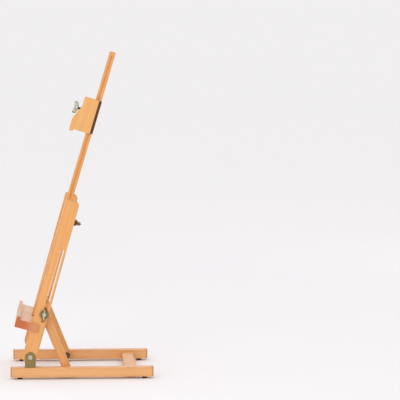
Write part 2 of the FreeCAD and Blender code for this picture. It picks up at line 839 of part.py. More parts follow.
def slot_washer():
    """The broad washer under the right wing nut."""
    start = V(upright_outer_x + facing_gap, 0, strut_length)
    bore = slot_bolt_diameter + 2 * slot_washer_clearance
    washer = ring(slot_washer_diameter, bore, slot_washer_thickness, start, X_AXIS)
    rim = lambda edge: abs(edge.BoundBox.ZLength - slot_washer_diameter) < 10 * tolerance
    outer = start.x + slot_washer_thickness - tolerance
    return ease(washer, slot_washer_edge_radius, lambda edge: rim(edge) and edge.BoundBox.XMin > outer)


def wing_nut():
    """The right wing nut, its wings nearly in line with the upright."""
    nut = wing_head()
    bore = slot_bolt_diameter + 2 * running_clearance
    nut = nut.cut(Part.makeCylinder(bore / 2, wing_rise + 2 * past, V(0, 0, -past)))
    crossing = slot_crossing()
    turn = FreeCAD.Rotation(X_AXIS, wing_nut_turn - frame_lean)
    facing = FreeCAD.Rotation(Y_AXIS, Z_AXIS, X_AXIS, "ZXY")
    place = V(wing_nut_face(), crossing.y, crossing.z)
    nut.Placement = FreeCAD.Placement(place, turn.multiply(facing))
    return nut


# ---------------------------------------------------------------- assembly
def cut_all(shape, cutters):
    """A piece with several others' room taken out of it."""
    for cutter in cutters:
        shape = shape.cut(cutter)
    return shape


def base_nodes():
    """Every piece of the standing base."""
    feet = [foot_at(y) for y in (-foot_y, foot_y)]
    foot_screws = [foot_screw_at(y) for y in (-foot_y, foot_y)]
    bracket_screws = bracket_screw_pair()
    pivot_screw, pivot_shank = strut_pivot_screw()
    dowels = crossbar_dowels()
    rivet = pivot_rivet()
    rivet_reach = bracket_side_gap + bracket_sheet + past
    rivet_body = rod(V(upright_inner_x - rivet_reach, pivot_y, pivot_z),
                     V(upright_outer_x + rivet_reach, pivot_y, pivot_z), rivet_diameter)
    screw_bodies = [body for screw, body in foot_screws + bracket_screws]
    side_rail = cut_all(rail(), dowels + screw_bodies + [pivot_shank])
    side_bracket = cut_all(bracket(), [body for screw, body in bracket_screws] + [rivet_body])
    side_feet = [cut_all(foot, screw_bodies) for foot in feet]
    crossbar = cut_all(rear_crossbar(), dowels + [mirrored(dowel) for dowel in dowels])
    nodes = {
        "rear_crossbar": crossbar,
        "crossbar_dowels": on_both_sides(dowels),
        "feet": on_both_sides(side_feet),
        "foot_screws": on_both_sides([screw for screw, body in foot_screws]),
        "bracket_screws": on_both_sides([screw for screw, body in bracket_screws]),
        "pivot_rivets": on_both_sides([rivet]),
        "strut_pivot_screws": on_both_sides([pivot_screw]),
        "strut_pivot_washers": on_both_sides(strut_pivot_washers()),
    }
    for side in SIDES:
        nodes["rail_" + side] = for_side(side_rail, side)
        nodes["pivot_bracket_" + side] = for_side(side_bracket, side)
    return nodes


def frame_nodes():
    """Every piece of the leaning frame, in place."""
    dowels = frame_dowels()
    ledge_screw, ledge_screw_body = tray_screw()
    guide_screws = guide_screw_pair()
    bolt = mast_bolt_parts()
    bodies = [body for screw, body in guide_screws]
    leaning_bodies = bodies + [mirrored(body) for body in bodies] + bolt["cutters"]
    side_upright = on_frame(cut_all(upright(), dowels + [ledge_screw_body]))
    ledge = cut_all(tray(), [ledge_screw_body, mirrored(ledge_screw_body)])
    bar = on_frame(cut_all(top_crossbar(), dowels + [mirrored(dowel) for dowel in dowels]))
    bar = cut_all(bar, [on_mast(body) for body in leaning_bodies])
    guide = cut_all(mast_guide(), bodies)
    nodes = {
        "top_crossbar": bar,
        "frame_dowels": on_frame(on_both_sides(dowels)),
        "tray": on_frame(ledge),
        "tray_screws": on_frame(on_both_sides([ledge_screw])),
        "guide_screws": on_mast(on_both_sides([screw for screw, body in guide_screws])),
        "crossbar_insert": on_mast(bolt["insert"]),
        "mast_pressure_pad": on_mast(bolt["pad"]),
        "mast_bolt_washer": on_mast(bolt["washer"]),
        "mast_wing_bolt": on_mast(bolt["bolt"]),
    }
    for side in SIDES:
        nodes["upright_" + side] = for_side(side_upright, side)
        nodes["mast_guide_" + side] = on_mast(for_side(guide, side))
    return nodes


def clamp_nodes():
    """The mast and the canvas clamp on it, in place."""
    strap_screws = strap_screw_pair()
    bodies = [body for screw, body in strap_screws]
    bodies = bodies + [mirrored(body) for body in bodies]
    bolt = clamp_bolt_parts()
    return {
        "mast": on_mast(mast()),
        "clamp_block": on_mast(cut_all(clamp_block(), bodies + bolt["cutters"])),
        "clamp_strap": on_mast(cut_all(clamp_strap(), bodies)),
        "strap_screws": on_mast(on_both_sides([screw for screw, body in strap_screws])),
        "clamp_insert": on_mast(bolt["insert"]),
        "clamp_pressure_pad": on_mast(bolt["pad"]),
        "clamp_wing_bolt": on_mast(bolt["bolt"]),
    }


def strut_nodes():
    """The two struts with their bolts, spacers, washers and wing nuts, in place."""
    bolt = slot_bolt()
    pieces = {
        "strut": strut().cut(bolt),
        "slot_bolt": bolt,
        "slot_spacer": slot_spacer(),
        "slot_washer": slot_washer(),
    }
    nodes = {}
    for side in SIDES:
        for name, shape in pieces.items():
            nodes[name + "_" + side] = on_strut(for_side(shape, side))
        nodes["wing_nut_" + side] = for_side(wing_nut(), side)
    return nodes


def main():
    """Build every node and write it as a STEP file."""
    os.makedirs("parts", exist_ok=True)
    nodes = {}
    for group in (base_nodes(), frame_nodes(), clamp_nodes(), strut_nodes()):
        nodes.update(group)
    for name, shape in nodes.items():
        shape.exportStep("parts/" + name + ".step")
        print(name, len(shape.Solids), round(shape.Volume / 1000, 2), "cm3", shape.isValid())


main()
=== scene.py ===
"""The looks of a tabletop easel: its finishes, its small hardware and its studio."""

import logging
import math
from dataclasses import dataclass, field
from enum import Enum
from typing import Any

import bmesh
import bpy
from mathutils import Matrix, Vector


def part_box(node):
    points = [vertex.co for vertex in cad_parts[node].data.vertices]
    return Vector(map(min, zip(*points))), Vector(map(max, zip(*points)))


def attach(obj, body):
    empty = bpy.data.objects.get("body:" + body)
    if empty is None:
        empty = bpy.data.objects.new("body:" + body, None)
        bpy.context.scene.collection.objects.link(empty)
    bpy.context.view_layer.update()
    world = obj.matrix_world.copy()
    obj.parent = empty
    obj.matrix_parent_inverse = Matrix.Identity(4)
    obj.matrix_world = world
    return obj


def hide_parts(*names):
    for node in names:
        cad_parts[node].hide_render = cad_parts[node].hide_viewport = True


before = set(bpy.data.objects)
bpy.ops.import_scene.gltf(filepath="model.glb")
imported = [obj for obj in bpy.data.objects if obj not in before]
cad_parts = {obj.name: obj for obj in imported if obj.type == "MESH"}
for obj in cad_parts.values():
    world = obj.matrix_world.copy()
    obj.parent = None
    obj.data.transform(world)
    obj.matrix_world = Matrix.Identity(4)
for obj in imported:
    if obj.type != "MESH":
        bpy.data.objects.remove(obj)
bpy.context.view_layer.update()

MM = 0.001
# The wing heads' attribute: bright where handling wears the metal, and painted shade where the ears meet the
# hub.
WEAR_AND_SHADE_BY = "rubbed"
LOG = logging.getLogger("easel")

Colour = tuple[float, float, float]
Point = tuple[float, float, float]


class Grain(Enum):
    """The way that a board's grain runs."""

    ACROSS = "across"
    DEPTH = "depth"
    UP = "up"


class Body(Enum):
    """The bodies that the detailed hardware rides on."""

    BASE = "base"
    FRAME = "frame"
    CLAMP = "clamp"
    CLAMP_SCREW = "clamp_screw"
    MAST_SCREW = "mast_screw"
    WING_NUT_LEFT = "wing_nut_left"
    WING_NUT_RIGHT = "wing_nut_right"


class Slot(Enum):
    """The record's material slots for the detailed hardware."""

    ZINC_STEEL = "zinc_steel"
    ANTIQUE_BRASS = "antique_brass"
    DARK_BRONZE = "dark_bronze"
    AGED_NICKEL = "aged_nickel"


# ---------------------------------------------------------------- shader maths
class Value:
    """A number that varies over a surface, which Python's operators work on."""

    def __init__(self, graph: "Graph", socket: bpy.types.NodeSocket) -> None:
        """Wrap a socket of a graph."""
        self.graph = graph
        self.socket = socket

    def _math(self, operation: str, first: Any, second: Any = None) -> "Value":
        """Add a Math node.

        Args:
            operation: The Math node's operation.
            first: Its first input, a number or a value.
            second: Its second input, where it has one.

        Returns:
            The node's result.
        """
        sockets = {0: first} if second is None else {0: first, 1: second}
        made = self.graph.node("ShaderNodeMath", {"operation": operation}, sockets)
        return Value(self.graph, made.outputs[0])

    def __add__(self, other: Any) -> "Value":
        """Add."""
        return self._math("ADD", self, other)

    def __radd__(self, other: Any) -> "Value":
        """Add, from the right."""
        return self._math("ADD", other, self)

    def __sub__(self, other: Any) -> "Value":
        """Subtract."""
        return self._math("SUBTRACT", self, other)

    def __rsub__(self, other: Any) -> "Value":
        """Subtract, from the right."""
        return self._math("SUBTRACT", other, self)

    def __mul__(self, other: Any) -> "Value":
        """Multiply."""
        return self._math("MULTIPLY", self, other)

    def __rmul__(self, other: Any) -> "Value":
        """Multiply, from the right."""
        return self._math("MULTIPLY", other, self)

    def __truediv__(self, other: Any) -> "Value":
        """Divide."""
        return self._math("DIVIDE", self, other)

    def __pow__(self, other: Any) -> "Value":
        """Raise to a power."""
        return self._math("POWER", self, other)

    def size(self) -> "Value":
        """The value without its sign."""
        return self._math("ABSOLUTE", self)

    def part(self) -> "Value":
        """The part after the decimal point."""
        return self._math("FRACT", self)

    def root(self) -> "Value":
        """The square root."""
        return self._math("SQRT", self)

    def least(self, other: Any) -> "Value":
        """The smaller of two."""
        return self._math("MINIMUM", self, other)

    def step(self, low: float, high: float) -> "Value":
        """Rise smoothly from 0 at low to 1 at high.

        Args:
            low: Where the rise starts.
            high: Where it ends; it may be below low, for a fall.

        Returns:
            A value from 0 to 1.
        """
        swapped = high < low
        ends = (high, low) if swapped else (low, high)
        made = self.graph.node(
            "ShaderNodeMapRange",
            {"interpolation_type": "SMOOTHSTEP"},
            {"Value": self, "From Min": ends[0], "From Max": ends[1]},
        )
        rise = Value(self.graph, made.outputs["Result"])
        return 1 - rise if swapped else rise


class Graph:
    """One material's nodes."""

    SPREAD: Point = (1.0, 1.7, 0.6)

    def __init__(self, name: str) -> None:
        """Start an empty material.

        Args:
            name: The material's name.
        """
        self.material = bpy.data.materials.new(name)
        self.material.use_nodes = True
        self.tree = self.material.node_tree
        self.tree.nodes.clear()

    def node(
        self, kind: str, settings: dict | None = None, sockets: dict | None = None
    ) -> bpy.types.Node:
        """Add a node.

        Args:
            kind: The node's type.
            settings: Its own settings; "stops" are a colour ramp's places and colours.
            sockets: Its inputs by name or number, as numbers, tuples, sockets or values.

        Returns:
            The new node.
        """
        made = self.tree.nodes.new(kind)
        for key, value in (settings or {}).items():
            if key == "stops":
                ramp = made.color_ramp
                while len(ramp.elements) < len(value):
                    ramp.elements.new(0.5)
                for element, (place, colour) in zip(ramp.elements, value):
                    element.position = place
                    element.color = (*colour, 1.0)
            else:
                setattr(made, key, value)
        for key, value in (sockets or {}).items():
            source = value.socket if isinstance(value, Value) else value
            if isinstance(source, bpy.types.NodeSocket):
                self.tree.links.new(source, made.inputs[key])
            else:
                made.inputs[key].default_value = source
        return made

    def value(self, kind: str, settings: dict | None, sockets: dict, output: str | int = 0) -> Value:
        """Add a node and wrap one of its outputs."""
        return Value(self, self.node(kind, settings, sockets).outputs[output])

    def place(self) -> bpy.types.NodeSocket:
        """A point's place on the piece."""
        return self.node("ShaderNodeTexCoord").outputs["Object"]

    def within(self, point: Any, centre: Point, turn: Matrix) -> bpy.types.NodeSocket:
        """Read a point in a piece's own frame.

        Args:
            point: The point's socket.
            centre: The frame's origin.
            turn: The frame's axes, as a matrix's columns.

        Returns:
            The point in that frame.
        """
        return self.node(
            "ShaderNodeMapping",
            {"vector_type": "TEXTURE"},
            {"Vector": point, "Location": centre, "Rotation": tuple(turn.to_euler("XYZ"))},
        ).outputs[0]

    def stretched(self, point: Any, scale: Point, shift: float) -> bpy.types.NodeSocket:
        """Multiply a point axis by axis and move it, which stretches a pattern read at it.

        Args:
            point: The point's socket.
            scale: The factor for each axis.
            shift: How far to move it, spread unevenly over the axes.

        Returns:
            The new point.
        """
        scaled = self.node("ShaderNodeVectorMath", {"operation": "MULTIPLY"}, {0: point, 1: scale})
        away = tuple(shift * share for share in self.SPREAD)
        moved = self.node("ShaderNodeVectorMath", {"operation": "ADD"}, {0: scaled.outputs[0], 1: away})
        return moved.outputs[0]

    def noise(
        self, point: Any, scale: Point, detail: float = 3.0, shift: float = 0.0, rough: float = 0.5
    ) -> Value:
        """Read cloudy noise.

        Args:
            point: The point's socket.
            scale: How fine the noise is along each axis.
            detail: How many finer layers it has.
            shift: Where in the noise to read.
            rough: How strong the finer layers are.

        Returns:
            A value from 0 to 1.
        """
        at = self.stretched(point, scale, shift)
        sockets = {"Vector": at, "Scale": 1.0, "Detail": detail, "Roughness": rough}
        return self.value("ShaderNodeTexNoise", None, sockets)

    def cells(self, point: Any, scale: Point, shift: float = 0.0) -> Value:
        """The distance to the nearest of many scattered points."""
        at = self.stretched(point, scale, shift)
        return self.value("ShaderNodeTexVoronoi", None, {"Vector": at, "Scale": 1.0}, "Distance")

    def axes(self, point: Any) -> tuple[Value, Value, Value]:
        """A point's three numbers."""
        made = self.node("ShaderNodeSeparateXYZ", None, {0: point})
        return tuple(Value(self, made.outputs[i]) for i in range(3))

    def mix(self, first: Any, second: Any, share: Any, blend: str = "MIX") -> bpy.types.NodeSocket:
        """Blend two colours.

        Args:
            first: The colour at a share of 0.
            second: The colour at a share of 1.
            share: How much of the second shows.
            blend: The way of blending.

        Returns:
            The blended colour.
        """
        pair = (first, second)
        colours = [(*c, 1.0) if isinstance(c, tuple) and len(c) == 3 else c for c in pair]
        made = self.node(
            "ShaderNodeMix",
            {"data_type": "RGBA", "blend_type": blend, "clamp_result": True},
            {0: share, 6: colours[0], 7: colours[1]},
        )
        return made.outputs[2]

    def surface(
        self, varying: dict, constant: dict, height: Value | None = None, depth: float = 0.0
    ) -> bpy.types.Material:
        """Close the material with one shader.

        Args:
            varying: The shader's inputs that change over the surface.
            constant: Its inputs that are the same all over.
            height: The relief, from 0 to 1.
            depth: How deep the relief is, in metres.

        Returns:
            The finished material.
        """
        sockets = {**constant, **varying}
        if height is not None:
            relief = {"Strength": 1.0, "Distance": depth, "Height": height}
            sockets["Normal"] = self.node("ShaderNodeBump", None, relief).outputs[0]
        shader = self.node("ShaderNodeBsdfPrincipled", None, sockets)
        self.node("ShaderNodeOutputMaterial", None, {"Surface": shader.outputs[0]})
        return self.material


# ---------------------------------------------------------------- finishes
@dataclass(frozen=True)
class Board:
    """Where a wooden piece lies, so that its grain, ends and edges can follow it.

    Its size is across, through and along the grain.
    """

    centre: Point
    size: Point
    grain: Grain
    lean: float = 0.0
    seed: float = 0.0

    def turn(self) -> Matrix:
        """Find the board's own axes.

        Returns:
            The axes as columns, the last along its grain.
        """
        lean = Matrix.Rotation(-math.radians(self.lean), 3, "X")
        x_axis, y_axis, z_axis = (Vector(c) for c in lean.transposed())
        order = {
            Grain.UP: (x_axis, y_axis, z_axis),
            Grain.ACROSS: (y_axis, z_axis, x_axis),
            Grain.DEPTH: (z_axis, x_axis, y_axis),
        }[self.grain]
        return Matrix(order).transposed()


@dataclass(frozen=True)
class Beech:
    """Oiled and lacquered beech."""

    pale: Colour = (0.92, 0.465, 0.140)
    warm: Colour = (0.81, 0.335, 0.078)
    line: Colour = (0.42, 0.150, 0.045)
    end: Colour = (0.36, 0.165, 0.085)
    ring_width: float = 0.0052
    end_strength: float = 0.6
    end_reach: float = 0.0022
    end_fade: float = 1.0
    coat: float = 0.45
    relief: float = 0.00012

    def material(self, name: str, board: Board) -> bpy.types.Material:
        """Make the wood for one board.

        Args:
            name: The material's name.
            board: Where the piece lies.

        Returns:
            The material.
        """
        g = Graph(name)
        seed = board.seed
        point = g.within(g.place(), board.centre, board.turn())
        x, y, z = g.axes(point)
        half_x, half_y, half_z = (s / 2 for s in board.size)

        drift = g.noise(point, (26.0, 26.0, 4.0), 2.0, seed) - 0.5
        heart_x = 0.055 + 0.03 * math.sin(seed * 3.1)
        heart_y = 0.040 * math.cos(seed * 2.3)
        radius = ((x + heart_x) ** 2.0 + (y + heart_y) ** 2.0).root() + drift * 0.012
        ring = (radius / self.ring_width).part()
        late = ring.step(0.45, 0.92) * ring.step(1.0, 0.93)

        streak = g.noise(point, (420.0, 420.0, 9.0), 4.0, seed + 4.0, 0.6)
        fibre = g.noise(point, (1900.0, 1900.0, 60.0), 2.0, seed + 9.0)
        fleck = g.cells(point, (640.0, 640.0, 85.0), seed + 2.0).step(0.22, 0.06)
        cloud = g.noise(point, (14.0, 14.0, 5.0), 2.0, seed + 6.0)

        warmth = (late * 0.45 + streak.step(0.42, 0.68) * 0.5).least(1.0)
        colour = g.mix(self.pale, self.warm, warmth)
        colour = g.mix(colour, self.warm, cloud.step(0.45, 0.75) * 0.45)
        colour = g.mix(colour, self.line, fleck * 0.30 + fibre.step(0.58, 0.75) * 0.14)

        # Painted shade: a thin dark outline at every edge, and patches near the edges that are partly
        # handling wear and partly painted shade on the eased edges.
        near_edge = ((half_x - x.size()) + (half_y - y.size())).step(0.0055, 0.0010)
        rubbed = near_edge * g.noise(point, (60.0, 60.0, 40.0), 3.0, seed + 12.0).step(0.35, 0.6)
        outline = (half_x - x.size()).least(half_y - y.size()).step(0.0020, 0.0003)
        colour = g.mix(colour, self.line, (rubbed * 0.22 + outline * 0.20).least(1.0))
        # The end colour is end grain; on the rails and the tray it is partly painted shade as well.
        end_grain_and_shade = (half_z - z.size()).step(self.end_reach, self.end_reach * 0.35)
        # Painted shade: the end colour is strongest at the board's front and fades towards its back.
        if self.end_fade < 1.0:
            end_grain_and_shade = end_grain_and_shade * (x.step(0.016, -0.008) * (1 - self.end_fade) + self.end_fade)
        end_fleck = g.noise(point, (900.0, 900.0, 900.0), 2.0, seed + 15.0).step(0.35, 0.7)
        colour = g.mix(colour, self.end, end_grain_and_shade * (0.7 + end_fleck * 0.3) * self.end_strength)

        rough = 0.40 + streak * 0.14 + end_grain_and_shade * 0.20 - rubbed * 0.05
        height = streak * 0.45 + (1 - fleck) * 0.35 + fibre * 0.20
        return g.surface(
            {"Base Color": colour, "Roughness": rough, "Coat Weight": self.coat - end_grain_and_shade * 0.38},
            {"Coat Roughness": 0.22, "IOR": 1.48},
            height,
            self.relief,
        )


@dataclass(frozen=True)
class Metal:
    """Plated or antiqued metal, worn bright where it is handled."""

    bright: Colour
    patina: Colour
    cover: float = 0.5
    rough: float = 0.36
    brushed: float = 0.0
    metallic: float = 1.0
    relief: float = 0.00002

    def material(self, name: str, wear_and_shade_by: str | None = None) -> bpy.types.Material:
        """Make the metal.

        Args:
            name: The material's name.
            wear_and_shade_by: The name of an attribute that says how bright a point is: worn bright by
                handling, or darkened by painted shade.

        Returns:
            The material.
        """
        g = Graph(name)
        point = g.place()
        cloud = g.noise(point, (210.0, 210.0, 210.0), 5.0, 1.3, 0.62)
        speck = g.noise(point, (1500.0, 1500.0, 1500.0), 2.0, 5.1)
        scratch = g.noise(point, (300.0, 5200.0, 900.0), 2.0, 8.0)
        aged = cloud.step(0.50 - 0.4 * self.cover, 1.02 - 0.3 * self.cover)
        if wear_and_shade_by is not None:
            # Painted shade: where the attribute is low, at the ears' roots and tips, the metal turns to its
            # near-black patina colour; where it is high, handling wear brightens it.
            wear_and_shade = g.value("ShaderNodeAttribute", {"attribute_name": wear_and_shade_by}, {}, "Fac")
            aged = (aged * 0.55 + 0.75 - wear_and_shade).step(0.05, 0.95)
        colour = g.mix(self.bright, self.patina, aged)
        colour = g.mix(colour, self.patina, speck.step(0.55, 0.85) * 0.25)
        rough = self.rough + aged * 0.22 + scratch * 0.10 + self.brushed * scratch * 0.2
        height = speck * 0.4 + scratch * 0.35 + cloud * 0.25
        return g.surface(
            {"Base Color": colour, "Roughness": rough, "Metallic": self.metallic - aged * 0.25},
            {"IOR": 1.5},
            height,
            self.relief,
        )


@dataclass(frozen=True)
class Moulded:
    """Rubber, leather or plastic with a fine even texture."""

    base: Colour
    dust: Colour
    texture: float = 900.0
    rough: float = 0.7
    relief: float = 0.0001

    def material(self, name: str) -> bpy.types.Material:
        """Make the material.

        Args:
            name: The material's name.

        Returns:
            The material.
        """
        g = Graph(name)
        point = g.place()
        pebble = g.cells(point, (self.texture,) * 3)
        cloud = g.noise(point, (130.0, 130.0, 130.0), 4.0, 2.0)
        colour = g.mix(self.base, self.dust, cloud.step(0.5, 0.8) * 0.5)
        colour = g.mix(colour, self.base, pebble.step(0.2, 0.05) * 0.4)
        varying = {"Base Color": colour, "Roughness": self.rough + cloud * 0.15}
        return g.surface(varying, {"IOR": 1.45}, pebble, self.relief)


class Finish:
    """The easel's metals, rubber and leather, each made once."""

    def __init__(self) -> None:
        """Make every shared finish."""
        antique = Metal(bright=(0.34, 0.255, 0.100), patina=(0.19, 0.140, 0.050), cover=0.55, rough=0.42)
        self.antique = antique.material("antique_brass")
        nickel = Metal(bright=(0.80, 0.77, 0.70), patina=(0.40, 0.36, 0.30), cover=0.30, rough=0.30)
        self.nickel = nickel.material("bright_nickel")
        steel = Metal((0.55, 0.54, 0.51), (0.20, 0.18, 0.15), cover=0.40, rough=0.34, brushed=0.5)
        self.steel = steel.material("plated_steel")
        brass = Metal(bright=(0.78, 0.55, 0.24), patina=(0.34, 0.21, 0.08), cover=0.30, rough=0.30)
        self.brass = brass.material("turned_brass")
        bronze = Metal(bright=(0.22, 0.15, 0.085), patina=(0.055, 0.028, 0.014), cover=0.55, rough=0.42)
        self.bronze = bronze.material("dark_bronze")
        # Painted shade: the strap behind the clamp block is coloured like wood in deep shade, standing in for
        # the shadow that the block's cheek casts on the mast's rear half.
        strap = Metal(
            (0.215, 0.080, 0.028), (0.135, 0.048, 0.018), cover=0.60, rough=0.50, brushed=0.2, metallic=0.5
        )
        self.strap = strap.material("strap_painted_shade")
        # The wing heads' near-black patina colours also paint the shade at the ears' roots and their darker
        # tips.
        grey = Metal(bright=(0.52, 0.52, 0.44), patina=(0.030, 0.020, 0.012), cover=0.50, rough=0.40)
        self.wing_grey = grey.material("grey_worn_and_shaded", WEAR_AND_SHADE_BY)
        brown = Metal(bright=(0.36, 0.28, 0.18), patina=(0.070, 0.040, 0.020), cover=0.50, rough=0.40)
        self.wing_brown = brown.material("brown_worn_and_shaded", WEAR_AND_SHADE_BY)
        rubber = Moulded(base=(0.022, 0.020, 0.019), dust=(0.075, 0.070, 0.065), texture=1400.0, rough=0.74)
        self.rubber = rubber.material("foot_rubber")
        spacer = Moulded(base=(0.018, 0.018, 0.018), dust=(0.05, 0.05, 0.05), texture=1800.0, rough=0.5)
        self.spacer = spacer.material("spacer_black")
        leather = Moulded((0.17, 0.080, 0.035), (0.30, 0.17, 0.09), texture=1100.0, rough=0.66, relief=0.0003)
        self.leather = leather.material("pad_leather")


def wear(node: str, material: bpy.types.Material) -> None:
    """Give a CAD node a finish.

    Args:
        node: The node's name.
        material: Its new material.
    """
    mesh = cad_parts[node].data
    mesh.materials.clear()
    mesh.materials.append(material)
    LOG.info("%s wears %s", node, material.name)


def middle(node: str) -> Point:
    """The middle of a CAD node's box."""
    low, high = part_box(node)
    return tuple((Vector(low) + Vector(high)) / 2)


# ---------------------------------------------------------------- leaning places
@dataclass(frozen=True)
class Leaning:
    """A frame that leans back from a pivot, with its own upright axes."""

    pivot: Point
    lean: float

    def matrix(self) -> Matrix:
        """The frame's place."""
        return Matrix.Translation(self.pivot) @ Matrix.Rotation(-math.radians(self.lean), 4, "X")

    def at(self, x: float, forward: float, up: float) -> Vector:
        """A point from its distances across, forward of and up the frame, in millimetres."""
        return self.matrix() @ Vector((x * MM, -forward * MM, up * MM))

    def along(self, x: float, forward: float, up: float) -> Vector:
        """A direction from its parts across, forward of and up the frame."""
        return self.matrix().to_3x3() @ Vector((x, -forward, up))


UPRIGHT = Leaning((0.0, -0.1268, 0.0540), 15.5)
MAST = Leaning((0.0, -0.1268, 0.0540), 16.4)
STRUT = Leaning((0.0, -0.0352, 0.0170), -22.08)


# ---------------------------------------------------------------- screws by nodes
@dataclass(frozen=True)
class ScrewSeat:
    """One screw's head centre and the way that its head faces."""

    head: Vector
    facing: Vector


@dataclass(frozen=True)
class ScrewSize:
    """A countersunk wood screw's sizes, in millimetres."""

    shank: float
    head: float
    length: float
    pitch: float = 1.2

    def cone(self) -> float:
        """The head's depth."""
        return (self.head - self.shank) / 2


class NodeTree:
    """A geometry tree under construction."""

    def __init__(self, name: str, sizes: dict[str, float]) -> None:
        """Start a tree.

        Args:
            name: The tree's name.
            sizes: Its named number inputs and their first values.
        """
        self.tree = bpy.data.node_groups.new(name, "GeometryNodeTree")
        face = self.tree.interface
        face.new_socket("Geometry", in_out="INPUT", socket_type="NodeSocketGeometry")
        face.new_socket("Material", in_out="INPUT", socket_type="NodeSocketMaterial")
        for key, first in sizes.items():
            face.new_socket(key, in_out="INPUT", socket_type="NodeSocketFloat").default_value = first
        face.new_socket("Geometry", in_out="OUTPUT", socket_type="NodeSocketGeometry")
        self.given = self.tree.nodes.new("NodeGroupInput")
        self.result = self.tree.nodes.new("NodeGroupOutput")

    def node(
        self, kind: str, settings: dict | None = None, sockets: dict | None = None
    ) -> bpy.types.Node:
        """Add a node.

        Args:
            kind: The node's type.
            settings: Its own settings, which are set first.
            sockets: Its inputs by name or number, as numbers, sockets or lists of sockets.

        Returns:
            The new node.
        """
        made = self.tree.nodes.new(kind)
        for key, value in (settings or {}).items():
            setattr(made, key, value)
        for key, value in (sockets or {}).items():
            if isinstance(value, list):
                for source in value:
                    self.tree.links.new(source, made.inputs[key])
            elif isinstance(value, bpy.types.NodeSocket):
                self.tree.links.new(value, made.inputs[key])
            else:
                made.inputs[key].default_value = value
        return made

    def sum(self, operation: str, first: Any, second: Any) -> bpy.types.NodeSocket:
        """Do one sum on two numbers."""
        return self.node("ShaderNodeMath", {"operation": operation}, {0: first, 1: second}).outputs[0]

    def moved(self, shape: Any, x: Any = 0.0, y: Any = 0.0, z: Any = 0.0) -> bpy.types.NodeSocket:
        """Move a shape.

        Args:
            shape: The shape's socket.
            x: How far along X.
            y: How far along Y.
            z: How far along Z.

        Returns:
            The moved shape.
        """
        shift = self.node("ShaderNodeCombineXYZ", None, {0: x, 1: y, 2: z}).outputs[0]
        made = self.node("GeometryNodeTransform", None, {"Geometry": shape, "Translation": shift})
        return made.outputs[0]

    def finish(self, shape: Any) -> bpy.types.NodeTree:
        """End the tree with real meshes and one material.

        Args:
            shape: The shape's socket.

        Returns:
            The finished tree.
        """
        real = self.node("GeometryNodeRealizeInstances", None, {0: shape})
        inputs = {"Geometry": real.outputs[0], "Material": self.given.outputs["Material"]}
        dressed = self.node("GeometryNodeSetMaterial", None, inputs)
        self.tree.links.new(dressed.outputs[0], self.result.inputs[0])
        return self.tree


def thread(tree: NodeTree, radius: Any, length: Any, pitch: Any) -> bpy.types.NodeSocket:
    """A threaded shank that hangs down from the origin.

    Args:
        tree: The tree to add it to.
        radius: The radius over the thread's crests.
        length: The shank's length.
        pitch: The distance from crest to crest.

    Returns:
        The shank's mesh.
    """
    ridge_share, core_overlap = 0.30, 0.00004
    ridge = tree.sum("MULTIPLY", pitch, ridge_share)
    root = tree.sum("SUBTRACT", radius, ridge)
    core_radius = tree.sum("ADD", root, core_overlap)
    core_sizes = {"Vertices": 20, "Radius": core_radius, "Depth": length}
    core = tree.node("GeometryNodeMeshCylinder", None, core_sizes)
    core_down = tree.moved(core.outputs["Mesh"], z=tree.sum("MULTIPLY", length, -0.5))
    run = tree.sum("SUBTRACT", length, pitch)
    coil = tree.node(
        "GeometryNodeCurveSpiral",
        None,
        {
            "Resolution": 18,
            "Rotations": tree.sum("DIVIDE", run, pitch),
            "Start Radius": root,
            "End Radius": root,
            "Height": run,
        },
    )
    profile = tree.node("GeometryNodeCurvePrimitiveCircle", None, {"Resolution": 4, "Radius": ridge})
    curves = {"Curve": coil.outputs[0], "Profile Curve": profile.outputs[0]}
    crest = tree.node("GeometryNodeCurveToMesh", None, curves)
    low = tree.sum("SUBTRACT", tree.sum("MULTIPLY", run, -1.0), tree.sum("MULTIPLY", pitch, 0.5))
    crest_down = tree.moved(crest.outputs[0], z=low)
    return tree.node("GeometryNodeJoinGeometry", None, {0: [core_down, crest_down]}).outputs[0]


